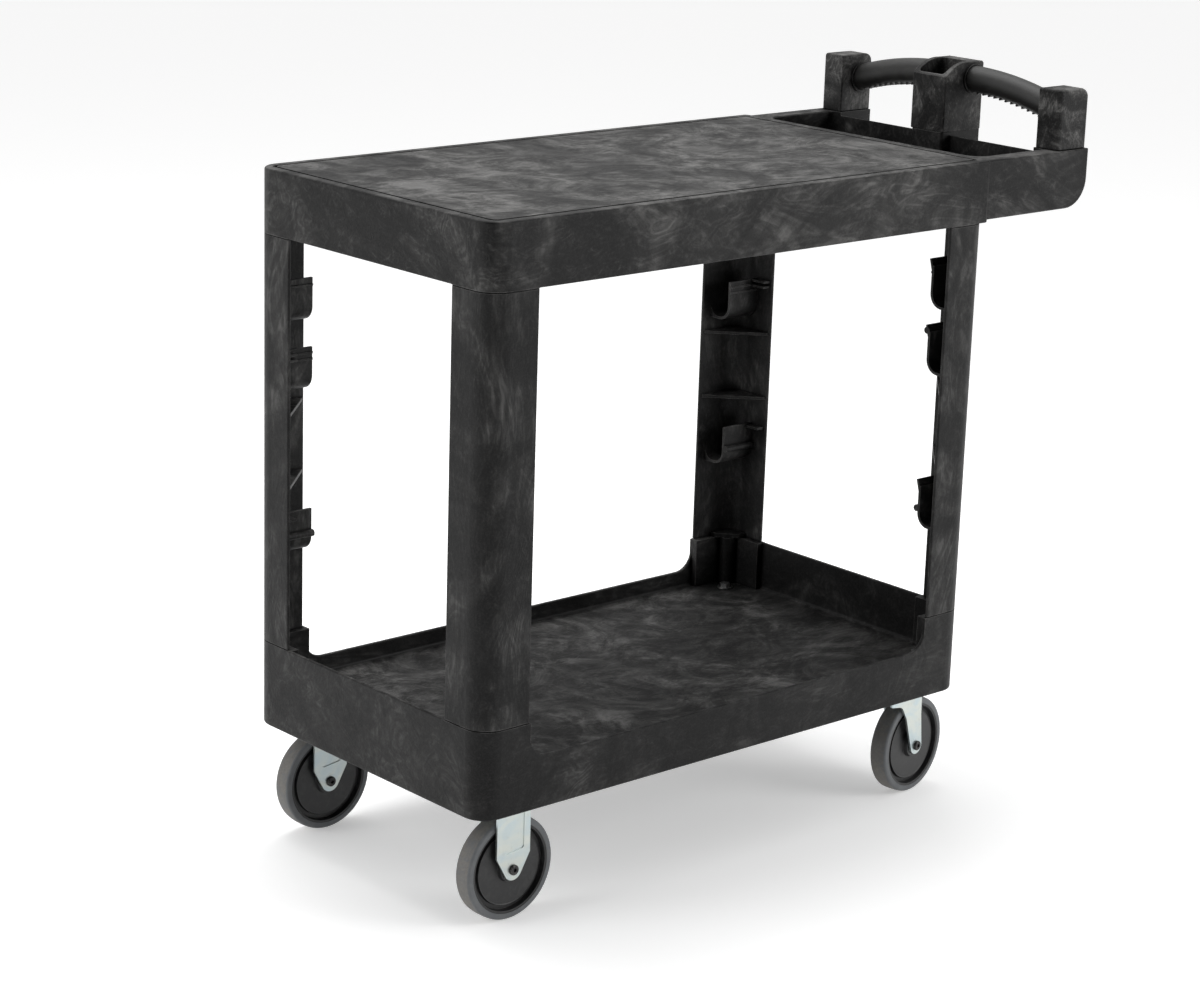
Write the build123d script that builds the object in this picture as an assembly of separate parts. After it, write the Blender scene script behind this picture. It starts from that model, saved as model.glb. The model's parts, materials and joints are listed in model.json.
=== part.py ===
from build123d import *
from math import cos, radians, sin
import os

# Rolling utility cart: two foam-moulded shelves on four L-shaped corner posts, a push handle of
# three towers and two round grips, two rigid casters in front and two swivel casters at the handle.
# Frame: +X along the cart towards the handle, +Y to the right-hand side, +Z up. The origin is on
# the floor, under the middle of the whole cart. Millimetres.

# ---- cart
OVERALL_LENGTH = 1021.0
SHELF_LENGTH = 826.0
WIDTH = 454.0
CORNER_RADIUS = 30.0
WALL = 5.0
RIB = 4.0

X_FRONT = -OVERALL_LENGTH / 2
X_REAR = X_FRONT + SHELF_LENGTH
X_END = OVERALL_LENGTH / 2
X_SHELF = X_FRONT + SHELF_LENGTH / 2
HALF_WIDTH = WIDTH / 2

# ---- lower shelf heights
LOWER_BOTTOM = 148.0
LOWER_DECK = 190.5
LOWER_SIDE_TOP = 214.5
LOWER_END_TOP = 258.5
DECK_THICKNESS = 6.0
COLUMN_LEG = 75.0
COLUMN_THICKNESS = 14.0
SIDE_SWEEP_RADIUS = 28.0
WALL_ROUND = 1.5
COVE = 5.0

# ---- upper shelf heights
UPPER_BOTTOM = 778.5
UPPER_TOP = 858.5
TOP_ROUND = 3.0
RIM = 13.0
GROOVE_WIDTH = 4.5
GROOVE_DEPTH = 2.5

# ---- handle end of the upper shelf
HANDLE_INSET = 5.0
HANDLE_HALF = HALF_WIDTH - HANDLE_INSET
HANDLE_BOTTOM = 780.5
SEAT_TOP = 857.5
TAIL_RADIUS = 38.0
TRAY_FRONT = X_FRONT + 833.0
TRAY_BACK = X_FRONT + 962.0
TRAY_HALF = 194.0
TRAY_FLOOR = 802.5
BACK_WALL_TOP = 853.0
BACK_SLOPE_DROP = 32.0

# ---- handle
TOWER_DEPTH = 58.0
TOWER_WIDTH = 38.0
TOWER_Y = 198.0
TOWER_TOP = 936.5
HOLDER_DEPTH = 75.0
HOLDER_HALF = 30.0
HOLDER_FRONT_TOP = 932.5
HOLDER_TOP = 950.5
POCKET_HALF = 23.0
POCKET_FRONT = X_END - 72.0
POCKET_BACK = X_END - 24.0
POCKET_FLOOR = 864.5
GRIP_X = X_END - 20.0
GRIP_RADIUS = 17.6
GRIP_OUTER_Z = 903.5
GRIP_MIDDLE_Z = 921.5
GRIP_INNER_Z = 927.5
GRIP_INSERT = 5.0
COLLAR_RADIUS = 20.0
COLLAR_LENGTH = 3.0
FOOT_SEAM = 1.0

# ---- posts
POST_LEG_X = 71.5
POST_LEG_Y = 70.0
POST_WALL = 4.5
SEAM = 1.2
FLANGE = 6.0
FLANGE_LEG = 40.0
POST_SCREW = 22.0
RIB_LEVELS = (467.5, 559.5)
HOOK_LENGTH = 57.0
HOOK_DEPTH = 42.0
HOOK_WALL = 3.5
HOOK_BOTTOMS = (372.5, 579.5, 666.5)
HOOK_HEIGHT = 55.0

# ---- casters
WHEEL_RADIUS = 65.5
TREAD_HALF = 12.5
CORE_RADIUS = 57.0
CASTER_INSET_X = 75.0
CASTER_INSET_Y = 44.0
PLATE_TOP = 159.5
PLATE_THICKNESS = 3.5
PLATE_X = 100.0
PLATE_Y = 70.0
PLATE_HOLES = [(sx * 38.0, sy * 24.0) for sx in (-1, 1) for sy in (-1, 1)]
LEG_GAP_HALF = 14.5
LEG_THICKNESS = 3.0
LEG_OUTER = LEG_GAP_HALF + LEG_THICKNESS
TRAIL = 29.5
SWIVEL_REST = {"rear_left": 8.0, "rear_right": 5.0}
CROWN_TOP = 148.5
CROWN_SWEEP = 37.5  # the crown must turn inside the shelf's side wall
CROWN_THICKNESS = 4.0
CROWN_RADIUS = 33.0
BALL_RADIUS = 2.5
BALL_PATH = 22.0
BALL_Z = 150.1
BALL_COUNT = 16
KINGPIN_RADIUS = 6.0

CORNERS = {"front_left": (-1, -1), "front_right": (-1, 1), "rear_left": (1, -1), "rear_right": (1, 1)}


# ---- drawing helpers
def block(x0, x1, y0, y1, z0, z1):
    """Box between two opposite corners."""
    return Pos((x0 + x1) / 2, (y0 + y1) / 2, (z0 + z1) / 2) * Box(x1 - x0, y1 - y0, z1 - z0)


def rod(x, y, z0, z1, radius):
    """Upright cylinder."""
    return Pos(x, y, (z0 + z1) / 2) * Cylinder(radius, z1 - z0)


def cross_rod(x, y0, y1, z, radius):
    """Cylinder along Y."""
    return Pos(x, (y0 + y1) / 2, z) * Rot(90, 0, 0) * Cylinder(radius, y1 - y0)


def outline(points, radii=None):
    """Closed face through points; radii gives the radius of the corner at a point's index."""
    face = make_face(Polyline(*points, close=True))
    for index, radius in (radii or {}).items():
        corner = face.vertices().sort_by_distance(Vector(*points[index], 0))[0]
        face = fillet(corner, radius)
    return face


def side_prism(face, y0, y1):
    """A face drawn in X and Z, extruded from y0 to y1."""
    return extrude(Plane.XZ.offset(-y1) * face, amount=y1 - y0)


def end_prism(face, x0, x1):
    """A face drawn in Y and Z, extruded from x0 to x1."""
    return extrude(Plane.YZ.offset(x0) * face, amount=x1 - x0)


def slab(x0, x1, half_y, z0, z1, front_radius, rear_radius):
    """Plate symmetric about Y = 0 with rounded upright corners at each end."""
    corners = [(x0, -half_y), (x1, -half_y), (x1, half_y), (x0, half_y)]
    radii = {0: front_radius, 1: rear_radius, 2: rear_radius, 3: front_radius}
    return extrude(Pos(0, 0, z0) * outline(corners, radii), amount=z1 - z0)


def corner_quarter(leg_x, leg_y, inset):
    """Plate outline from a shelf corner at (0, 0), pulled in from its two outer sides."""
    corners = [(inset, inset), (leg_x, inset), (leg_x, leg_y), (inset, leg_y)]
    return outline(corners, {0: CORNER_RADIUS - inset})


def angle_column(leg_x, leg_y, thickness, z0, z1, free_round=0.0):
    """L-shaped upright that follows a shelf corner at (0, 0)."""
    inner = outline(
        [(thickness, thickness), (leg_x + 1, thickness), (leg_x + 1, leg_y + 1), (thickness, leg_y + 1)],
        {0: max(CORNER_RADIUS - thickness, 12.0)},
    )
    section = corner_quarter(leg_x, leg_y, 0) - inner
    if free_round:
        ends = [v for v in section.vertices() if v.X > leg_x - 0.1 or v.Y > leg_y - 0.1]
        section = fillet(ends, free_round)
    return extrude(Pos(0, 0, z0) * section, amount=z1 - z0)


def at_corner(part, side_x, side_y):
    """Move a part drawn from an outer corner at (0, 0) into one corner of the shelves."""
    if side_x > 0:
        part = part.mirror(Plane.YZ)
    if side_y > 0:
        part = part.mirror(Plane.XZ)
    return Pos(X_REAR if side_x > 0 else X_FRONT, side_y * HALF_WIDTH, 0) * part


def hexagon(x, y, z0, z1, across_flats):
    """Upright hexagonal prism."""
    face = RegularPolygon(across_flats / 2, 6, major_radius=False)
    return extrude(Pos(x, y, z0) * face, amount=z1 - z0)


def group(items):
    """Several separate solids as one part."""
    return Compound(children=[item for item in items])


# ---- upper shelf
def handle_profile(inset):
    """Side outline of the handle end, pulled in from its rear and bottom faces."""
    x0, x1, z0 = X_REAR - 3.0, X_END - inset, HANDLE_BOTTOM + inset
    points = [(x0, z0), (x1, z0), (x1, SEAT_TOP), (x0, SEAT_TOP)]
    return outline(points, {1: TAIL_RADIUS - inset})


def back_slope(y0, y1, drop=0.0):
    """Wedge above the sloping top of the back wall, between two handle seats."""
    front, rear = TRAY_BACK - 40.0, X_END + 10.0
    fall = BACK_SLOPE_DROP / (X_END - TRAY_BACK)
    level = BACK_WALL_TOP - drop
    points = [
        (front, level),
        (TRAY_BACK, level),
        (rear, level - fall * (rear - TRAY_BACK)),
        (rear, SEAT_TOP + 20.0),
        (front, SEAT_TOP + 20.0),
    ]
    return side_prism(outline(points), y0, y1)


def make_upper_shelf():
    deck = slab(X_FRONT, X_REAR, HALF_WIDTH, UPPER_BOTTOM, UPPER_TOP, CORNER_RADIUS, 8.0)
    deck = fillet(deck.edges().group_by(Axis.Z)[-1], TOP_ROUND)
    deck = fillet(deck.edges().group_by(Axis.Z)[0], 1.5)

    tail = side_prism(handle_profile(0.0), -HANDLE_HALF, HANDLE_HALF)
    sides = [f for f in tail.faces() if abs(abs(f.center().Y) - HANDLE_HALF) < 0.1]
    tail = fillet([e for f in sides for e in f.edges() if e.center().X > X_REAR - 2.0], TOP_ROUND)

    groove = slab(
        X_FRONT + RIM, X_REAR - RIM, HALF_WIDTH - RIM, UPPER_TOP - GROOVE_DEPTH, UPPER_TOP + 1, 9.0, 5.0
    )
    inside = RIM + GROOVE_WIDTH
    groove -= slab(
        X_FRONT + inside, X_REAR - inside, HALF_WIDTH - inside, UPPER_BOTTOM, UPPER_TOP + 2, 7.0, 3.0
    )
    under_deck = slab(
        X_FRONT + WALL, X_REAR - WALL, HALF_WIDTH - WALL,
        UPPER_BOTTOM - 1, UPPER_TOP - DECK_THICKNESS, CORNER_RADIUS - WALL, 3.0,
    )
    body = deck - groove - under_deck

    # storage tray between the deck and the back wall
    tray = slab(TRAY_FRONT, TRAY_BACK, TRAY_HALF, TRAY_FLOOR, UPPER_TOP + 1, 22.0, 8.0)
    tray = fillet(tray.edges().group_by(Axis.Z)[0], 5.0)
    tub = slab(
        TRAY_FRONT - WALL, TRAY_BACK + WALL, TRAY_HALF + WALL,
        TRAY_FLOOR - WALL, UPPER_TOP, 22.0 + WALL, 8.0 + WALL,
    )
    seat_inner = TOWER_Y - TOWER_WIDTH / 2 - 2.0
    for y0, y1 in ((-seat_inner, -HOLDER_HALF + 2.0), (HOLDER_HALF - 2.0, seat_inner)):
        tail -= back_slope(y0, y1)
    hollow = side_prism(handle_profile(WALL), -HANDLE_HALF + WALL, HANDLE_HALF - WALL)
    hollow += block(X_REAR + 1, X_END - TAIL_RADIUS, -HANDLE_HALF + WALL, HANDLE_HALF - WALL, 770, 786)
    hollow &= block(X_REAR + 1, X_END, -HALF_WIDTH, HALF_WIDTH, 770, SEAT_TOP - DECK_THICKNESS)
    for y0, y1 in ((-seat_inner - WALL, -HOLDER_HALF + 7.0), (HOLDER_HALF - 7.0, seat_inner + WALL)):
        hollow -= back_slope(y0, y1, WALL)
    hollow -= tub
    body += tail - hollow
    body -= tray
    rim = slab(TRAY_FRONT - 1.5, TRAY_BACK, TRAY_HALF + 1.5, SEAT_TOP - 1.5, UPPER_TOP + 1, 23.5, 8.0)
    body -= chamfer(rim.edges().group_by(Axis.Z)[0], 1.5)
    seat_front = X_END - HOLDER_DEPTH
    seat = block(seat_front, TRAY_BACK + 2, -HOLDER_HALF + 2, HOLDER_HALF - 2, TRAY_FLOOR - 1, SEAT_TOP)
    body += fillet(seat.edges().filter_by(Axis.Z).group_by(Axis.X)[0], 4.0)

    # stiffening ribs under the deck, inside the skirt
    rib_top = UPPER_TOP - DECK_THICKNESS
    for y in (-HALF_WIDTH / 2, 0.0, HALF_WIDTH / 2):
        body += block(X_FRONT + WALL, X_REAR - WALL, y - RIB / 2, y + RIB / 2, rib_top - 22, rib_top)
    for step in range(-3, 4):
        x = X_SHELF + step * 110.0
        body += block(x - RIB / 2, x + RIB / 2, -HALF_WIDTH + WALL, HALF_WIDTH - WALL, rib_top - 16, rib_top)

    # corner sockets that sit on the posts, with a screw boss in each
    for side_x, side_y in CORNERS.values():
        socket = angle_column(POST_LEG_X, POST_LEG_Y, COLUMN_THICKNESS, UPPER_BOTTOM, rib_top)
        socket += rod(POST_SCREW, POST_SCREW, UPPER_BOTTOM, rib_top, 11.0)
        body += at_corner(socket, side_x, side_y)
        hole = rod(POST_SCREW, POST_SCREW, UPPER_BOTTOM - 1, UPPER_BOTTOM + 24, 3.1)
        body -= at_corner(hole, side_x, side_y)
    for x, y in HANDLE_SCREWS:
        body -= rod(x, y, SEAT_TOP - 20, SEAT_TOP + 1, 3.7)
    return body


# ---- lower shelf
def make_lower_shelf():
    body = slab(X_FRONT, X_REAR, HALF_WIDTH, LOWER_BOTTOM, LOWER_END_TOP, CORNER_RADIUS, CORNER_RADIUS)
    body = fillet(body.edges().group_by(Axis.Z)[0], TOP_ROUND)
    inner = CORNER_RADIUS - WALL
    tray = slab(
        X_FRONT + WALL, X_REAR - WALL, HALF_WIDTH - WALL, LOWER_DECK, LOWER_END_TOP + 5, inner, inner
    )
    body -= fillet(tray.edges().group_by(Axis.Z)[0], COVE)
    under = LOWER_DECK - DECK_THICKNESS
    body -= slab(
        X_FRONT + WALL, X_REAR - WALL, HALF_WIDTH - WALL, LOWER_BOTTOM - 5, under, inner, inner
    )
    sweep = [
        (X_FRONT + COLUMN_LEG, LOWER_SIDE_TOP),
        (X_REAR - COLUMN_LEG, LOWER_SIDE_TOP),
        (X_REAR - COLUMN_LEG, LOWER_END_TOP + 30),
        (X_FRONT + COLUMN_LEG, LOWER_END_TOP + 30),
    ]
    cutter = outline(sweep, {0: SIDE_SWEEP_RADIUS, 1: SIDE_SWEEP_RADIUS})
    body -= side_prism(cutter, -HALF_WIDTH - 1, HALF_WIDTH + 1)
    upper_edges = [e for e in body.edges() if e.bounding_box().min.Z > LOWER_SIDE_TOP - 0.1]
    across = [e for e in upper_edges if e.bounding_box().size.Y > WALL - 1]
    across = [e for e in across if abs(e.center().Y) > HALF_WIDTH - WALL]
    body = fillet([e for e in upper_edges if e not in across], WALL_ROUND)

    for y in (-HALF_WIDTH / 2, 0.0, HALF_WIDTH / 2):
        body += block(X_FRONT + WALL, X_REAR - WALL, y - RIB / 2, y + RIB / 2, under - 22, under)
    for step in range(-2, 3):
        x = X_SHELF + step * 120.0
        body += block(x - RIB / 2, x + RIB / 2, -HALF_WIDTH + WALL, HALF_WIDTH - WALL, under - 18, under)

    for side_x, side_y in CORNERS.values():
        column = angle_column(COLUMN_LEG, COLUMN_LEG, COLUMN_THICKNESS, under, LOWER_END_TOP)
        column += rod(POST_SCREW, POST_SCREW, under, LOWER_END_TOP, 11.0)
        column += caster_pad(under)
        holes = rod(POST_SCREW, POST_SCREW, under - 1, LOWER_END_TOP + 1, 3.1)
        holes += rod(POST_SCREW, POST_SCREW, LOWER_BOTTOM, under, 8.0)
        holes += rod(DECK_BOLT[0], DECK_BOLT[1], under - 5, LOWER_DECK + 5, 4.2)
        for dx, dy in PLATE_HOLES:
            holes += rod(CASTER_INSET_X + dx, CASTER_INSET_Y + dy, PLATE_TOP - 1, PLATE_TOP + 21, 3.6)
        body += at_corner(column, side_x, side_y)
        body -= at_corner(holes, side_x, side_y)
    return body


def caster_pad(top):
    """Frame and four screw bosses that a caster plate bears on, for a corner at (0, 0)."""
    centre = Pos(CASTER_INSET_X, CASTER_INSET_Y, (PLATE_TOP + top) / 2)
    height = top - PLATE_TOP
    pad = centre * Box(PLATE_X + 4, PLATE_Y + 4, height) - centre * Box(PLATE_X - 8, PLATE_Y - 8, height)
    for dx, dy in PLATE_HOLES:
        pad += rod(CASTER_INSET_X + dx, CASTER_INSET_Y + dy, PLATE_TOP, top, 9.5)
    return pad


# ---- posts
def hook(bottom, flared, beads=(), bands=()):
    """Trough that hangs inside a post's long wall: open at the top and at its free end.
    beads and bands are the heights above its bottom of round and flat ribs on its outer wall."""
    top = bottom + HOOK_HEIGHT
    inside = HOOK_DEPTH - HOOK_WALL
    start = POST_WALL - 0.5
    outer = outline([(start, bottom), (HOOK_DEPTH, bottom), (HOOK_DEPTH, top), (start, top)], {1: 19.0})
    floor = bottom + HOOK_WALL
    inner = outline(
        [(POST_WALL, floor), (inside, floor), (inside, top + 5), (POST_WALL, top + 5)],
        {0: 14.0, 1: 15.5},
    )
    trough = outer - inner
    if flared:
        tip = HOOK_DEPTH + 4.5
        trough += outline([(inside, top - 7), (HOOK_DEPTH, top - 8), (tip, top + 8), (tip - 2.5, top + 9)])
    part = end_prism(trough, start, HOOK_LENGTH)
    for rise in beads:
        part += bead(bottom + rise, 4.5)
    for rise in bands:
        level = bottom + rise
        part += block(POST_WALL, HOOK_LENGTH, inside + 1, HOOK_DEPTH + 1.2, level - 1.3, level + 1.3)
    return part


def bead(level, radius):
    """Round rib along a hook's outer wall."""
    centre = Pos((POST_WALL + HOOK_LENGTH) / 2, HOOK_DEPTH + 2.5, level)
    return centre * Rot(0, 90, 0) * Cylinder(radius, HOOK_LENGTH - POST_WALL)


def post_rib(level):
    """Level triangular web across the inside corner of a post."""
    near, far_x, far_y = POST_WALL - 0.5, POST_LEG_X - 3, POST_LEG_Y - 3
    points = [(near, near), (far_x, near), (far_x, near + 2.5), (near + 2.5, far_y), (near, far_y)]
    return extrude(Pos(0, 0, level - 2) * outline(points), amount=4.0)


def post_flange(z0, z1, hole0, hole1):
    """Rounded triangular plate across the inside corner, with the hole for its screw."""
    near = POST_WALL - 0.5
    points = [(near, near), (FLANGE_LEG, near), (FLANGE_LEG, near + 12), (near + 12, FLANGE_LEG),
              (near, FLANGE_LEG)]
    plate = extrude(Pos(0, 0, z0) * outline(points, {2: 8.0, 3: 8.0}), amount=z1 - z0)
    return plate - rod(POST_SCREW, POST_SCREW, hole0, hole1, 3.2)


def make_post(flared):
    """Corner post drawn from its outer corner at (0, 0)."""
    bottom, top = LOWER_END_TOP, UPPER_BOTTOM
    body = angle_column(POST_LEG_X, POST_LEG_Y, POST_WALL, bottom + SEAM, top - SEAM, 1.5)
    ends = angle_column(POST_LEG_X, POST_LEG_Y, POST_WALL, bottom, top, 1.5)
    step = extrude(
        Pos(0, 0, bottom) * corner_quarter(POST_LEG_X + 1, POST_LEG_Y + 1, SEAM), amount=top - bottom
    )
    body += ends & step
    inside = post_flange(bottom, bottom + FLANGE, bottom - 1, bottom + FLANGE - 1)
    inside += post_flange(top - FLANGE, top, top - FLANGE - 1, top + 1)
    for level in RIB_LEVELS:
        inside += post_rib(level)
    low, middle, high = HOOK_BOTTOMS
    inside += hook(low, flared, beads=(24.0,))
    inside += hook(middle, flared, beads=(56.0,) if flared else (), bands=() if flared else (40.0, 48.0))
    inside += hook(high, flared, bands=(46.0,))
    # two short webs beside the middle hook and one beside the lowest tie its end to the end wall
    for level in (middle + 54.0, middle + 47.0, low + 52.0):
        inside += block(POST_WALL - 0.5, 17.0, HOOK_DEPTH - 3, POST_LEG_Y - 4, level - 1.5, level + 1.5)
    # everything inside stays behind the rounded outer face
    within = Pos(0, 0, bottom) * corner_quarter(POST_LEG_X, POST_LEG_Y, POST_WALL / 2)
    return body + (inside & extrude(within, amount=top - bottom))


# ---- handle
def grip_path(side, extra):
    """Arched centre line of one grip, run on by extra into the tower and the holder."""
    outer_y = TOWER_Y - TOWER_WIDTH / 2
    arc = ThreePointArc(
        (GRIP_X, side * outer_y, GRIP_OUTER_Z),
        (GRIP_X, side * (outer_y + HOLDER_HALF) / 2, GRIP_MIDDLE_Z),
        (GRIP_X, side * HOLDER_HALF, GRIP_INNER_Z),
    )
    outer_run = Line(arc @ 0, arc @ 0 - (arc % 0) * extra)
    inner_run = Line(arc @ 1, arc @ 1 + (arc % 1) * extra)
    return arc, outer_run, inner_run


def grip_solid(side, radius, extra):
    solid = None
    for run in grip_path(side, extra):
        section = Plane(origin=run @ 0, z_dir=run % 0) * Circle(radius)
        piece = sweep(section, path=run)
        solid = piece if solid is None else solid + piece
    return solid


def make_grip(side):
    """Round grip with small finger ribs along its underside."""
    arc = grip_path(side, GRIP_INSERT)[0]
    body = grip_solid(side, GRIP_RADIUS, GRIP_INSERT)
    rib_count = 13
    for index in range(rib_count):
        centre = arc @ (0.1 + 0.8 * index / (rib_count - 1)) - Vector(0, 0, GRIP_RADIUS)
        body += Pos(centre) * Rot(0, 90, 0) * Cylinder(1.5, 15.0)
    return body


def make_tower(side):
    """Outer handle tower with a collared socket for the grip."""
    x0, x1 = X_END - TOWER_DEPTH, X_END
    points = [(x0, SEAT_TOP), (x1, SEAT_TOP), (x1, TOWER_TOP), (x0, TOWER_TOP)]
    half = TOWER_WIDTH / 2
    body = side_prism(outline(points, {2: 12.0, 3: 3.0}), side * TOWER_Y - half, side * TOWER_Y + half)
    inner_y = side * (TOWER_Y - half)
    body = fillet([e for e in body.edges().filter_by(Axis.Z) if abs(e.center().Y - inner_y) > 1], 6.5)
    inner = [e for e in body.edges().filter_by(Axis.Z) if abs(e.center().Y - inner_y) < 1]
    body = fillet(inner, 2.0)
    body = chamfer(body.edges().group_by(Axis.Z)[0], FOOT_SEAM)
    body += cross_rod(GRIP_X, inner_y - COLLAR_LENGTH, inner_y + COLLAR_LENGTH, GRIP_OUTER_Z, COLLAR_RADIUS)
    body -= grip_solid(side, GRIP_RADIUS + 0.1, GRIP_INSERT)
    body -= block(x0, x1, *sorted((inner_y - side * 30, inner_y - side * COLLAR_LENGTH)), SEAT_TOP, 990)
    for x, y in HANDLE_SCREWS:
        body -= rod(x, y, SEAT_TOP - 1, SEAT_TOP + 26, 3.6)
    return body


def make_holder():
    """Centre tower with an open-topped pocket; its rim rises from the front to the back."""
    x0, x1 = X_END - HOLDER_DEPTH, X_END
    rim = ThreePointArc((x0, HOLDER_FRONT_TOP), (x0 + 19, HOLDER_TOP - 5), (x0 + 48, HOLDER_TOP))
    rest = Polyline((x0 + 48, HOLDER_TOP), (x1 - 4, HOLDER_TOP), (x1, HOLDER_TOP - 4), (x1, SEAT_TOP),
                    (x0, SEAT_TOP), (x0, HOLDER_FRONT_TOP))
    body = side_prism(make_face([rim, rest]), -HOLDER_HALF, HOLDER_HALF)
    body = fillet(body.edges().filter_by(Axis.Z), 2.0)
    body = chamfer(body.edges().group_by(Axis.Z)[0], FOOT_SEAM)
    for side in (-1, 1):
        y = side * HOLDER_HALF
        body += cross_rod(GRIP_X, y - COLLAR_LENGTH, y + COLLAR_LENGTH, GRIP_INNER_Z, COLLAR_RADIUS)
        body -= grip_solid(side, GRIP_RADIUS + 0.1, GRIP_INSERT)
    pocket_x = (POCKET_FRONT + POCKET_BACK) / 2
    pocket = RectangleRounded(POCKET_BACK - POCKET_FRONT, 2 * POCKET_HALF, 5.0)
    body -= extrude(Pos(pocket_x, 0, POCKET_FLOOR) * pocket, amount=120.0)
    for x, y in HANDLE_SCREWS:
        body -= rod(x, y, SEAT_TOP - 1, SEAT_TOP + 26, 3.6)
    return body


HANDLE_SCREWS = [
    (X_END - 16, -TOWER_Y), (X_END - 42, -TOWER_Y),
    (X_END - 16, -16.0), (X_END - 16, 16.0),
    (X_END - 16, TOWER_Y), (X_END - 42, TOWER_Y),
]
DECK_BOLT = (42.0, 41.0)


# ---- casters, drawn with the mounting axis at the origin and the wheel trailing along +X
def wheel_turn(points, radii=None):
    """Ring turned about the axle from an outline of radius and width."""
    ring = revolve(Plane.XZ * outline(points, radii), axis=Axis.Z)
    return Rot(90, 0, 0) * ring


def make_wheel_core():
    half = [(10.0, 13.9), (16.0, 13.9), (17.5, 8.6), (46.0, 8.6), (47.0, 9.2), (48.0, 5.0),
            (53.0, 5.0), (54.2, 11.8), (CORE_RADIUS, 12.2)]
    points = half + [(r, -w) for r, w in reversed(half)]
    return wheel_turn(points)


def make_tyre():
    crown = WHEEL_RADIUS - 0.7
    points = [(CORE_RADIUS, -TREAD_HALF), (crown, -TREAD_HALF), (WHEEL_RADIUS, -5.0), (WHEEL_RADIUS, 5.0),
              (crown, TREAD_HALF), (CORE_RADIUS, TREAD_HALF)]
    return wheel_turn(points, {1: 3.2, 4: 3.2})


def wheel_tube(outer, inner, half):
    return wheel_turn([(inner, -half), (outer, -half), (outer, half), (inner, half)])


def axle_bolt():
    """Socket-headed bolt along Y, head on the -Y side."""
    bolt = cross_rod(0, -LEG_OUTER, LEG_OUTER + 9.5, 0, 4.0)
    head = cross_rod(0, -LEG_OUTER - 3.6, -LEG_OUTER, 0, 6.5)
    head = fillet(head.edges().group_by(Axis.Y)[0], 1.5)
    socket = extrude(Plane.XZ.offset(LEG_OUTER + 1.2) * RegularPolygon(2.5, 6, major_radius=False), amount=9)
    return bolt + head - socket


def axle_nut():
    face = RegularPolygon(6.5, 6, major_radius=False) - Circle(4.02)
    return extrude(Plane.XZ.offset(-LEG_OUTER - 7.0) * face, amount=7.0)


def rigid_leg():
    """Leg outline: a wide upper part drawn down to a round end about the axle."""
    half, shoulder, end_radius = 25.5, 83.5, 13.5
    end = Pos(0, WHEEL_RADIUS) * Circle(end_radius)
    lower = make_hull([Line((-half, shoulder), (half, shoulder))] + end.edges())
    top = PLATE_TOP - 1
    return lower + outline([(-half, shoulder), (half, shoulder), (half, top), (-half, top)])


def swivel_leg():
    """Leg outline that sweeps from the crown back and down to the trailing axle."""
    end = Pos(TRAIL, WHEEL_RADIUS) * Circle(12.0)
    knee = 108.5
    lower = make_hull([Line((3.5, knee), (37.0, knee))] + end.edges())
    crown = CROWN_TOP - 1
    upper = outline(
        [(-33.0, crown), (-32.0, 133.5), (-8.5, 128.5), (3.5, knee), (37.0, knee), (36.0, crown)],
        {2: 12.0},
    )
    return upper + lower


def fork_legs(leg, axle_x):
    """Both legs of a fork, each with its axle hole."""
    legs = side_prism(leg, -LEG_OUTER, -LEG_GAP_HALF) + side_prism(leg, LEG_GAP_HALF, LEG_OUTER)
    return legs - cross_rod(axle_x, -LEG_OUTER - 1, LEG_OUTER + 1, WHEEL_RADIUS, 4.1)


def mounting_plate():
    face = RectangleRounded(PLATE_X, PLATE_Y, 8.0)
    plate = extrude(Pos(0, 0, PLATE_TOP - PLATE_THICKNESS) * face, amount=PLATE_THICKNESS)
    for x, y in PLATE_HOLES:
        plate -= rod(x, y, PLATE_TOP - 10, PLATE_TOP + 1, 4.3)
    return plate


def make_rigid_fork():
    body = mounting_plate() + fork_legs(rigid_leg(), 0)
    corners = [(-14.0, 86.5), (16.0, 90.5), (16.0, 151.5), (-14.0, 151.5)]
    panel = outline(corners, {0: 4.0, 1: 4.0, 2: 4.0, 3: 4.0})
    for y0, y1 in ((-LEG_OUTER - 1, -LEG_OUTER + 1), (LEG_OUTER - 1, LEG_OUTER + 1)):
        body -= side_prism(panel, y0, y1)
    return body


def make_swivel_fork():
    crown_bottom = CROWN_TOP - CROWN_THICKNESS
    body = rod(0, 0, crown_bottom, CROWN_TOP, CROWN_RADIUS)
    arms = block(-33, 36, -LEG_OUTER, LEG_OUTER, crown_bottom, CROWN_TOP)
    body += arms & rod(0, 0, crown_bottom, CROWN_TOP, CROWN_SWEEP)
    body += fork_legs(swivel_leg(), TRAIL)
    body -= Pos(0, 0, BALL_Z) * Torus(BALL_PATH, BALL_RADIUS + 0.03)
    return body - rod(0, 0, crown_bottom - 1, CROWN_TOP + 1, KINGPIN_RADIUS + 0.08)


def make_top_plate():
    race_bottom = 151.5
    body = mounting_plate() + rod(0, 0, race_bottom, PLATE_TOP - 1, 31.0)
    body -= rod(0, 0, race_bottom - 1, PLATE_TOP - PLATE_THICKNESS, 13.0)
    body -= Pos(0, 0, BALL_Z) * Torus(BALL_PATH, BALL_RADIUS + 0.3)
    return body - rod(0, 0, race_bottom - 1, PLATE_TOP + 1, KINGPIN_RADIUS)


def make_kingpin():
    head_top = CROWN_TOP - CROWN_THICKNESS - 0.4
    head = rod(0, 0, head_top - 4.5, head_top, 10.5)
    head = fillet(head.edges().group_by(Axis.Z)[0], 2.0)
    return head + rod(0, 0, head_top, PLATE_TOP, KINGPIN_RADIUS)


def make_balls():
    balls = []
    for index in range(BALL_COUNT):
        angle = radians(index * 360.0 / BALL_COUNT)
        balls.append(Pos(BALL_PATH * cos(angle), BALL_PATH * sin(angle), BALL_Z) * Sphere(BALL_RADIUS))
    return balls


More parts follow.
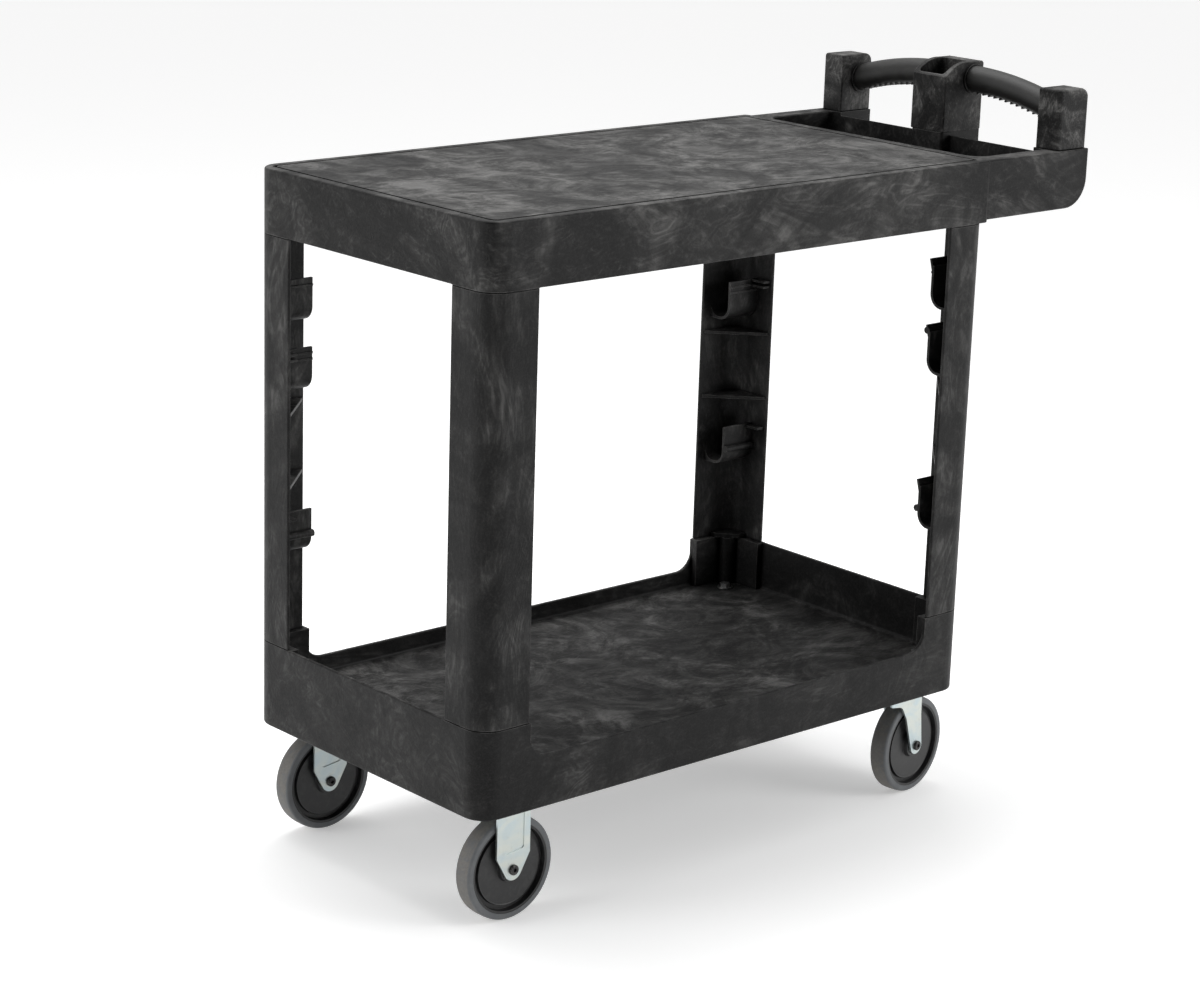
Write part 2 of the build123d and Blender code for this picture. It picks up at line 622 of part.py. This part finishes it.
def place_caster(part, corner):
    """Turn a caster part to its rest angle and move it under one corner of the cart."""
    side_x, side_y = CORNERS[corner]
    x = (X_REAR - CASTER_INSET_X) if side_x > 0 else (X_FRONT + CASTER_INSET_X)
    y = side_y * (HALF_WIDTH - CASTER_INSET_Y)
    return Pos(x, y, 0) * Rot(0, 0, SWIVEL_REST.get(corner, 0.0)) * part


def caster_parts(corner):
    """Every piece of one caster, by node name."""
    swivels = corner in SWIVEL_REST
    axle = Pos(TRAIL if swivels else 0.0, 0, WHEEL_RADIUS)
    pieces = {
        "wheel_core": axle * make_wheel_core(),
        "tyre": axle * make_tyre(),
        "wheel_bush": axle * wheel_tube(10.0, 7.05, 14.1),
        "axle_sleeve": axle * wheel_tube(7.0, 4.05, LEG_GAP_HALF),
        "axle_bolt": axle * axle_bolt(),
        "axle_nut": axle * axle_nut(),
    }
    if swivels:
        pieces["swivel_fork"] = make_swivel_fork()
        pieces["kingpin"] = make_kingpin()
        pieces["swivel_balls"] = group(make_balls())
    else:
        pieces["rigid_fork"] = make_rigid_fork()
    placed = {f"{name}_{corner}": place_caster(part, corner) for name, part in pieces.items()}
    if swivels:
        side_x, side_y = CORNERS[corner]
        x, y = X_REAR - CASTER_INSET_X, side_y * (HALF_WIDTH - CASTER_INSET_Y)
        placed[f"top_plate_{corner}"] = Pos(x, y, 0) * make_top_plate()
    return placed


# ---- fasteners
def at_all_corners(part):
    return group([at_corner(part, side_x, side_y) for side_x, side_y in CORNERS.values()])


def washer_screw(x, y, seat, tip, radius, head_radius, head_height):
    """Upright screw whose rounded head bears on seat and whose shank ends at tip."""
    up = 1 if tip > seat else -1
    low, high = sorted((seat, seat - up * head_height))
    head = rod(x, y, low, high, head_radius)
    outer_edge = head.edges().group_by(Axis.Z)[0 if up > 0 else -1]
    return fillet(outer_edge, 1.2) + rod(x, y, *sorted((seat, tip)), radius)


def make_fasteners():
    x, y = DECK_BOLT
    washer_top = LOWER_DECK + 1.6
    deck_bottom = LOWER_DECK - DECK_THICKNESS
    plate_bottom = PLATE_TOP - PLATE_THICKNESS
    caster_bolts = []
    for side_x, side_y in CORNERS.values():
        for dx, dy in PLATE_HOLES:
            u, v = CASTER_INSET_X + dx, CASTER_INSET_Y + dy
            bolt = hexagon(u, v, plate_bottom - 5.3, plate_bottom, 13.0)
            bolt += rod(u, v, plate_bottom, PLATE_TOP + 20, 3.5)
            caster_bolts.append(at_corner(bolt, side_x, side_y))
    return {
        "post_foot_screws": at_all_corners(
            washer_screw(POST_SCREW, POST_SCREW, deck_bottom, LOWER_END_TOP + FLANGE - 1.5, 3.0, 6.5, 4.0)
        ),
        "post_head_screws": at_all_corners(
            washer_screw(POST_SCREW, POST_SCREW, UPPER_BOTTOM - FLANGE, UPPER_BOTTOM + 22, 3.0, 6.5, 4.0)
        ),
        "deck_bolts": at_all_corners(
            hexagon(x, y, washer_top, washer_top + 5.3, 13.0) + rod(x, y, deck_bottom - 14, washer_top, 4.0)
        ),
        "deck_washers": at_all_corners(
            rod(x, y, LOWER_DECK, washer_top, 11.0) - rod(x, y, LOWER_DECK - 1, washer_top + 1, 4.15)
        ),
        "deck_nuts": at_all_corners(
            hexagon(x, y, deck_bottom - 6.5, deck_bottom, 13.0)
            - rod(x, y, deck_bottom - 8, deck_bottom + 1, 4.03)
        ),
        "caster_bolts": group(caster_bolts),
        "handle_screws": group([
            washer_screw(sx, sy, SEAT_TOP - DECK_THICKNESS, SEAT_TOP + 23, 3.5, 7.0, 5.0)
            for sx, sy in HANDLE_SCREWS
        ]),
    }


# ---- assembly
def make_cart():
    nodes = {
        "upper_shelf": make_upper_shelf(),
        "lower_shelf": make_lower_shelf(),
        "tool_holder": make_holder(),
        "handle_tower_left": make_tower(-1),
        "handle_tower_right": make_tower(1),
        "grip_left": make_grip(-1),
        "grip_right": make_grip(1),
    }
    for corner, (side_x, side_y) in CORNERS.items():
        nodes[f"post_{corner}"] = at_corner(make_post(flared=side_y < 0), side_x, side_y)
        nodes.update(caster_parts(corner))
    nodes.update(make_fasteners())
    return nodes


os.makedirs("parts", exist_ok=True)
for node_name, node_part in make_cart().items():
    export_step(node_part, f"parts/{node_name}.step")
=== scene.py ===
import json
import math

import bpy
from mathutils import Matrix, Vector

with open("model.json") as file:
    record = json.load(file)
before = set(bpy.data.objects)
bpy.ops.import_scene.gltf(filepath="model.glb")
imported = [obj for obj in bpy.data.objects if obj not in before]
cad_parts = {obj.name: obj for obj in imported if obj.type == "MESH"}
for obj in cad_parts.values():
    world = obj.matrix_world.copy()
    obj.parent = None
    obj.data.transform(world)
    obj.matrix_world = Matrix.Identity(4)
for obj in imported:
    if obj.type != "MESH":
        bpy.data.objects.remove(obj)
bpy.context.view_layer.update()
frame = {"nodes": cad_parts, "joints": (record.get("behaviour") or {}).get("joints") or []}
nodes = frame["nodes"]
scene = bpy.context.scene

# Lengths are in metres, angles in degrees and lamp strengths in watts.

# ---- camera
AZIMUTH = -41.76
ELEVATION = 15.53
ROLL = 1.80
TARGET = Vector((-0.1913, -0.0613, 0.4620))
DISTANCE = 3.7765
LENS_MM = 91.1
SENSOR_MM = 36.0
CLIP_END = 60.0

# ---- floor and light
FLOOR_HALF = 30.0
FLOOR_WHITE = (0.93, 0.93, 0.93, 1.0)
FLOOR_ROUGHNESS = 0.9
FLOOR_SPECULAR = 0.1
FLOOR_GLOW = 0.34
WHITE = (1.0, 1.0, 1.0, 1.0)
SWEEP_STRENGTH = 0.80
ROOM_STRENGTH = 0.05
NEAR_CORNER = (-0.64, -0.71, 0.28)
DIMMING_STARTS = 0.30
DIMMING_ENDS = 0.92
# name, place, the point it faces, width and height, strength
SOFTBOXES = [
    ("end_softbox", (-3.6, 0.9, 1.7), (-0.4, 0.0, 0.5), (1.6, 2.2), 38.0),
    ("side_softbox", (2.3, -3.1, 1.7), (0.45, 0.0, 0.75), (1.8, 1.6), 48.0),
    ("overhead", (0.3, 0.9, 3.4), (0.0, 0.0, 0.8), (2.6, 2.0), 60.0),
]

# ---- foam plastic
FOAM_DARK = (0.0052, 0.0051, 0.0052)
FOAM_LIGHT = (0.118, 0.116, 0.113)
FOAM_SPECULAR = 0.15
WORN_GAIN = 1.3
WORN_SHARE = 0.50
FLOW_LINES = 95.0
SPECK_SHARE = 0.07
STREAK_TURN = (0.3, 0.2, 0.7)
DECK_CLOUDS = 1.1
DECK_DULLNESS = 0.20
DECK_POLISH = 0.55
SEAM_REACH = 0.005
# painted shade: the colour laid into seams and inside corners
SEAM_SHADE = (0.0010, 0.0010, 0.0010)
ALONG_SHELF = (0.55, 1.0, 1.0)
UP_POST = (1.0, 1.0, 0.35)
UP_HANDLE = (1.0, 1.0, 0.7)

EDGE_ANGLE = 28.0


# ---------------------------------------------------------------- camera
def photo_camera():
    azimuth = math.radians(AZIMUTH)
    elevation = math.radians(ELEVATION)
    roll = math.radians(ROLL)
    right = Vector((math.cos(azimuth), math.sin(azimuth), 0.0))
    back = Vector((
        math.sin(azimuth) * math.cos(elevation),
        -math.cos(azimuth) * math.cos(elevation),
        math.sin(elevation),
    ))
    up = back.cross(right)
    turned_right = right * math.cos(roll) + up * math.sin(roll)
    turned_up = up * math.cos(roll) - right * math.sin(roll)
    data = bpy.data.cameras.new("camera")
    data.lens = LENS_MM
    data.sensor_width = SENSOR_MM
    data.clip_end = CLIP_END
    camera = bpy.data.objects.new("camera", data)
    scene.collection.objects.link(camera)
    rotation = Matrix((turned_right, turned_up, back)).transposed().to_4x4()
    camera.matrix_world = Matrix.Translation(TARGET + back * DISTANCE) @ rotation
    scene.camera = camera


# ---------------------------------------------------------------- floor and light
def stage_floor():
    mesh = bpy.data.meshes.new("floor")
    size = FLOOR_HALF
    corners = [(-size, -size, 0), (size, -size, 0), (size, size, 0), (-size, size, 0)]
    mesh.from_pydata(corners, [], [(0, 1, 2, 3)])
    floor = bpy.data.objects.new("floor", mesh)
    scene.collection.objects.link(floor)
    material = bpy.data.materials.new("floor_white")
    material.use_nodes = True
    inputs = material.node_tree.nodes["Principled BSDF"].inputs
    inputs["Base Color"].default_value = FLOOR_WHITE
    inputs["Roughness"].default_value = FLOOR_ROUGHNESS
    inputs["Specular IOR Level"].default_value = FLOOR_SPECULAR
    inputs["Emission Color"].default_value = WHITE
    inputs["Emission Strength"].default_value = FLOOR_GLOW
    mesh.materials.append(material)


def softbox(name, place, target, size, watts):
    data = bpy.data.lights.new(name, "AREA")
    data.shape = "RECTANGLE"
    data.size, data.size_y = size
    data.energy = watts
    lamp = bpy.data.objects.new(name, data)
    scene.collection.objects.link(lamp)
    direction = Vector(target) - Vector(place)
    facing = direction.to_track_quat("-Z", "Y").to_matrix().to_4x4()
    lamp.matrix_world = Matrix.Translation(place) @ facing


def studio_world():
    """White sweep all round, dimmer over the near corner."""
    world = bpy.data.worlds.new("studio")
    scene.world = world
    world.use_nodes = True
    tree = world.node_tree
    background = tree.nodes["Background"]
    background.inputs["Color"].default_value = WHITE
    coords = tree.nodes.new("ShaderNodeTexCoord")
    facing = tree.nodes.new("ShaderNodeVectorMath")
    facing.operation = "DOT_PRODUCT"
    facing.inputs[1].default_value = NEAR_CORNER
    shade = tree.nodes.new("ShaderNodeMapRange")
    shade.interpolation_type = "SMOOTHSTEP"
    shade.inputs["From Min"].default_value = DIMMING_STARTS
    shade.inputs["From Max"].default_value = DIMMING_ENDS
    shade.inputs["To Min"].default_value = SWEEP_STRENGTH
    shade.inputs["To Max"].default_value = ROOM_STRENGTH
    tree.links.new(coords.outputs["Generated"], facing.inputs[0])
    tree.links.new(facing.outputs["Value"], shade.inputs["Value"])
    tree.links.new(shade.outputs["Result"], background.inputs["Strength"])


# ---------------------------------------------------------------- node building
class Nodes:
    """Small helper that adds and links shader nodes in one material."""

    SOCKETS = {
        "colour": "Base Color",
        "roughness": "Roughness",
        "metallic": "Metallic",
        "normal": "Normal",
        "specular": "Specular IOR Level",
    }

    def __init__(self, name):
        self.material = bpy.data.materials.new(name)
        self.material.use_nodes = True
        self.tree = self.material.node_tree
        self.shader = self.tree.nodes["Principled BSDF"]
        self.coords = self.tree.nodes.new("ShaderNodeTexCoord")

    def feed(self, socket, value):
        """Links an output to the socket, or sets a plain value on it."""
        if hasattr(value, "is_output"):
            self.tree.links.new(value, socket)
        else:
            socket.default_value = value

    def add(self, kind, values=None, **settings):
        node = self.tree.nodes.new(kind)
        for key, value in settings.items():
            setattr(node, key, value)
        for key, value in (values or {}).items():
            self.feed(node.inputs[key], value)
        return node

    def mapped(self, scale=(1.0, 1.0, 1.0), turn=(0.0, 0.0, 0.0)):
        values = {"Vector": self.coords.outputs["Object"], "Scale": scale, "Rotation": turn}
        return self.add("ShaderNodeMapping", values).outputs["Vector"]

    def noise(self, vector, scale, detail=4.0, roughness=0.5, distortion=0.0):
        values = {
            "Vector": vector, "Scale": scale, "Detail": detail,
            "Roughness": roughness, "Distortion": distortion,
        }
        return self.add("ShaderNodeTexNoise", values).outputs["Fac"]

    def ramp(self, factor, low, high):
        """Spreads factor between low and high over 0 to 1, with soft ends."""
        values = {"Value": factor, "From Min": low, "From Max": high}
        return self.add("ShaderNodeMapRange", values, interpolation_type="SMOOTHSTEP").outputs["Result"]

    def between(self, factor, low, high):
        """Spreads a factor of 0 to 1 evenly from low to high."""
        values = {"Value": factor, "To Min": low, "To Max": high}
        return self.add("ShaderNodeMapRange", values).outputs["Result"]

    def maths(self, operation, a, b=0.0, clamp=False):
        return self.add("ShaderNodeMath", {0: a, 1: b}, operation=operation, use_clamp=clamp).outputs[0]

    def times(self, a, b):
        return self.maths("MULTIPLY", a, b)

    def plus(self, a, b, clamp=False):
        return self.maths("ADD", a, b, clamp)

    def dot(self, a, b):
        return self.add("ShaderNodeVectorMath", {0: a, 1: b}, operation="DOT_PRODUCT").outputs["Value"]

    def mix(self, factor, a, b):
        """Colour a where the factor is 0, colour b where it is 1."""
        node = self.add("ShaderNodeMix", data_type="RGBA")
        self.feed(node.inputs[0], factor)
        for socket, colour in ((node.inputs[6], a), (node.inputs[7], b)):
            self.feed(socket, (*colour, 1.0) if isinstance(colour, tuple) else colour)
        return node.outputs[2]

    def bump(self, height, distance, strength=1.0, normal=None):
        values = {"Height": height, "Distance": distance, "Strength": strength}
        if normal is not None:
            values["Normal"] = normal
        return self.add("ShaderNodeBump", values).outputs["Normal"]

    def bevel(self, radius):
        return self.add("ShaderNodeBevel", {"Radius": radius}, samples=6).outputs["Normal"]

    def upward(self):
        """How far the face looks up, from -1 to 1, in the cart's own frame."""
        return self.add("ShaderNodeSeparateXYZ", {"Vector": self.coords.outputs["Normal"]}).outputs["Z"]

    def edge(self, radius, low, high):
        """Near 1 along convex and concave edges, 0 on flat faces."""
        geometry = self.add("ShaderNodeNewGeometry")
        return self.ramp(self.dot(self.bevel(radius), geometry.outputs["Normal"]), high, low)

    def open_air(self, reach, low, high):
        """Near 0 deep in seams and inside corners, 1 on open faces; the mask for painted shade."""
        near = self.add("ShaderNodeAmbientOcclusion", {"Distance": reach}, samples=6)
        return self.ramp(near.outputs["AO"], low, high)

    def finished(self, **values):
        """Sets the shader's own inputs and hands back the material."""
        for key, value in values.items():
            plain_colour = isinstance(value, tuple)
            self.feed(self.shader.inputs[self.SOCKETS[key]], (*value, 1.0) if plain_colour else value)
        return self.material


# ---------------------------------------------------------------- materials
def foam_plastic(name, swirl, along, strength):
    """Near-black structural foam: pale smeared clouds, fine curved flow lines, paler worn edges.

    swirl is the scale of the clouds, along draws the grain out, and strength says how plain the
    marks are on every face.
    """
    n = Nodes(name)
    plain = n.mapped()
    drawn_out = n.mapped(along)
    slanted = n.mapped(along, STREAK_TURN)

    # broad patches where the skin went pale, with finer smears and streaks in them
    patches = n.ramp(n.noise(plain, swirl, 5.0, 0.60, distortion=1.8), 0.38, 0.66)
    smears = n.ramp(n.noise(drawn_out, swirl * 3.6, 8.0, 0.68, distortion=3.2), 0.40, 0.68)
    streaks = n.ramp(n.noise(slanted, swirl * 11.0, 7.0, 0.70, distortion=4.0), 0.46, 0.74)

    # contour lines of a slow noise read as the curved grain that the flow leaves
    field = n.noise(drawn_out, swirl * 1.5, 3.0, 0.50, distortion=1.6)
    lines = n.ramp(n.maths("SINE", n.times(field, FLOW_LINES)), -0.2, 1.0)
    cloud = n.times(patches, n.plus(n.times(smears, 0.75), 0.25))
    grained = n.times(n.plus(n.times(lines, 0.45), 0.55), cloud)
    wisps = n.times(streaks, n.plus(n.times(smears, 0.30), 0.06))
    # strength scales the pale marks, so it also sets how light the whole part reads: partly real
    # mottling, partly painted light and shade
    marks = n.times(n.plus(grained, wisps), strength)

    # faces that look up carry large smudges as well
    up = n.ramp(n.upward(), 0.55, 0.95)
    veins = n.ramp(n.noise(plain, swirl * 2.3, 9.0, 0.72, distortion=2.2), 0.38, 0.70)
    smudge = n.plus(n.times(veins, 0.85), n.times(streaks, 0.35))
    smudge = n.times(smudge, n.plus(n.times(patches, 0.70), 0.30))
    deck = n.times(smudge, up)

    speck = n.ramp(n.noise(plain, 420.0, 3.0, 0.6), 0.40, 0.75)
    mask = n.plus(marks, n.times(deck, DECK_CLOUDS), clamp=True)
    mask = n.plus(mask, n.times(speck, SPECK_SHARE), clamp=True)

    # edges are rubbed paler in places, and seams and inside corners get painted shade
    broken = n.ramp(n.noise(plain, 55.0, 4.0, 0.7), 0.30, 0.62)
    worn = n.times(n.times(n.edge(0.0022, 0.86, 0.995), broken), WORN_SHARE)
    worn_light = tuple(channel * WORN_GAIN for channel in FOAM_LIGHT)
    colour = n.mix(worn, n.mix(mask, FOAM_DARK, FOAM_LIGHT), worn_light)
    # painted shade: colour darkened towards the seam colour where ambient occlusion finds seams and
    # inside corners
    colour = n.mix(n.open_air(SEAM_REACH, 0.45, 0.92), SEAM_SHADE, colour)

    # the decks are dull between polished smudges
    rough = n.plus(n.between(mask, 0.46, 0.68), n.times(up, DECK_DULLNESS))
    rough = n.maths("SUBTRACT", rough, n.times(deck, DECK_POLISH), clamp=True)

    ripple = n.noise(drawn_out, 26.0, 5.0, 0.55, distortion=1.2)
    pebble = n.noise(plain, 650.0, 4.0, 0.6, distortion=0.4)
    normal = n.bump(ripple, 0.0018, 0.34, n.bevel(0.0011))
    normal = n.bump(lines, 0.00018, 0.30, normal)
    normal = n.bump(pebble, 0.00035, 0.40, normal)
    return n.finished(colour=colour, roughness=rough, normal=normal, specular=FOAM_SPECULAR)


def grip_plastic():
    """Denser satin plastic of the grips."""
    n = Nodes("grip_plastic")
    clouds = n.noise(n.mapped((1.0, 0.4, 1.0)), 30.0, 6.0, 0.6, distortion=1.6)
    grain = n.noise(n.mapped(), 900.0, 3.0, 0.6)
    return n.finished(
        colour=n.mix(n.ramp(clouds, 0.42, 0.72), (0.012, 0.0118, 0.011), (0.030, 0.0295, 0.028)),
        roughness=n.between(clouds, 0.42, 0.58),
        normal=n.bump(grain, 0.00025, 0.35, n.bevel(0.0008)),
        specular=0.4,
    )


def zinc_plate():
    """Bright zinc plating with faint blue and straw-yellow passivation clouds."""
    n = Nodes("zinc_plate")
    wide = n.noise(n.mapped((1.0, 1.0, 1.6)), 26.0, 3.0, 0.5, distortion=1.2)
    spots = n.noise(n.mapped(), 120.0, 5.0, 0.65, distortion=0.4)
    brushed = n.noise(n.mapped((1.0, 1.0, 14.0)), 160.0, 4.0, 0.6)
    silver = n.mix(n.ramp(wide, 0.30, 0.72), (0.50, 0.58, 0.60), (0.60, 0.63, 0.59))
    straw = n.times(n.ramp(spots, 0.55, 0.80), 0.30)
    return n.finished(
        colour=n.mix(straw, silver, (0.45, 0.42, 0.34)),
        roughness=n.between(spots, 0.26, 0.46),
        metallic=0.92,
        normal=n.bump(brushed, 0.00015, 0.25, n.bevel(0.0006)),
    )


def steel(name, dull, bright, smoothest, roughest):
    """Plain steel, spotted between two tones and two roughnesses."""
    n = Nodes(name)
    spots = n.noise(n.mapped(), 260.0, 5.0, 0.65, distortion=0.4)
    return n.finished(
        colour=n.mix(n.ramp(spots, 0.35, 0.72), dull, bright),
        roughness=n.between(spots, smoothest, roughest),
        metallic=1.0,
        normal=n.bump(spots, 0.0001, 0.3, n.bevel(0.0005)),
    )


def hub_plastic():
    """Black semi-gloss wheel core, a little dusty."""
    n = Nodes("hub_plastic")
    dust = n.noise(n.mapped(), 70.0, 6.0, 0.7, distortion=0.6)
    fine = n.noise(n.mapped(), 700.0, 3.0, 0.6)
    return n.finished(
        colour=n.mix(n.ramp(dust, 0.42, 0.74), (0.009, 0.009, 0.0095), (0.024, 0.024, 0.024)),
        roughness=n.between(dust, 0.32, 0.52),
        normal=n.bump(fine, 0.00015, 0.3, n.bevel(0.0008)),
        specular=0.5,
    )


def tyre_rubber(name, axle):
    """Grey tyre with a scuffed brownish tread band, where the surface faces away from the axle."""
    n = Nodes(name)
    tread = n.ramp(n.maths("ABSOLUTE", n.dot(n.coords.outputs["Normal"], axle)), 0.42, 0.08)
    soft = n.noise(n.mapped(), 60.0, 6.0, 0.65, distortion=0.8)
    scuff = n.noise(n.mapped(), 240.0, 6.0, 0.72, distortion=1.0)
    side = n.mix(n.ramp(soft, 0.30, 0.75), (0.112, 0.118, 0.124), (0.138, 0.143, 0.147))
    worn = n.mix(n.ramp(scuff, 0.30, 0.74), (0.118, 0.112, 0.104), (0.172, 0.164, 0.150))
    return n.finished(
        colour=n.mix(n.times(tread, n.ramp(soft, 0.25, 0.60)), side, worn),
        roughness=n.between(scuff, 0.50, 0.74),
        normal=n.bump(scuff, 0.0002, 0.22, n.bevel(0.0008)),
        specular=0.35,
    )


def nylon():
    """Cream nylon of the wheels' bushes."""
    n = Nodes("nylon")
    cloud = n.noise(n.mapped(), 120.0, 4.0, 0.6)
    return n.finished(
        colour=n.mix(cloud, (0.55, 0.52, 0.44), (0.68, 0.65, 0.56)),
        roughness=0.45,
        normal=n.bump(cloud, 0.0002, 0.3),
    )


# ---------------------------------------------------------------- dressing
def dress(material, *prefixes):
    """Gives the material to every node whose name starts with one of the prefixes."""
    for name, node in nodes.items():
        if name.startswith(prefixes):
            node.data.materials.clear()
            node.data.materials.append(material)


def dress_cart():
    # partly painted light and shade: besides the real mottling, the strengths make the lower shelf and
    # posts read darker, as if shaded, and the handle paler, as if lit
    dress(foam_plastic("foam_upper", 4.2, ALONG_SHELF, 0.95), "upper_shelf")
    dress(foam_plastic("foam_lower", 4.6, ALONG_SHELF, 0.42), "lower_shelf")
    dress(foam_plastic("foam_post", 6.0, UP_POST, 0.64), "post_front", "post_rear")
    dress(foam_plastic("foam_handle", 11.0, UP_HANDLE, 1.7), "handle_tower", "tool_holder")
    dress(grip_plastic(), "grip")
    dress(zinc_plate(), "rigid_fork", "swivel_fork", "top_plate")
    dress(steel("pin_steel", (0.42, 0.43, 0.44), (0.60, 0.60, 0.58), 0.28, 0.44), "kingpin")
    dress(
        steel("bright_steel", (0.36, 0.37, 0.38), (0.58, 0.58, 0.56), 0.28, 0.46),
        "caster_bolts", "deck_bolts", "handle_screws", "post_foot", "post_head",
        "swivel_balls", "axle_sleeve",
    )
    dress(
        steel("dark_steel", (0.030, 0.030, 0.032), (0.11, 0.105, 0.10), 0.34, 0.56),
        "axle_bolt", "axle_nut", "deck_nuts",
    )
    dress(steel("washer_steel", (0.20, 0.20, 0.20), (0.38, 0.38, 0.37), 0.34, 0.5), "deck_washers")
    dress(hub_plastic(), "wheel_core")
    dress(nylon(), "wheel_bush")
    for joint in frame["joints"]:
        if joint["child"].startswith("wheel_"):
            tyre = joint["child"].replace("wheel_", "tyre_", 1)
            dress(tyre_rubber(tyre, joint["axis"]), tyre)


def smooth_round_faces():
    """Shade curved faces smooth and keep the real edges sharp."""
    for node in nodes.values():
        mesh = node.data
        if not mesh.has_custom_normals:
            mesh.shade_smooth()
            mesh.set_sharp_from_angle(angle=math.radians(EDGE_ANGLE))


photo_camera()
stage_floor()
studio_world()
for box in SOFTBOXES:
    softbox(*box)
dress_cart()
smooth_round_faces()
scene.view_settings.view_transform = "Standard"
scene.view_settings.look = "None"
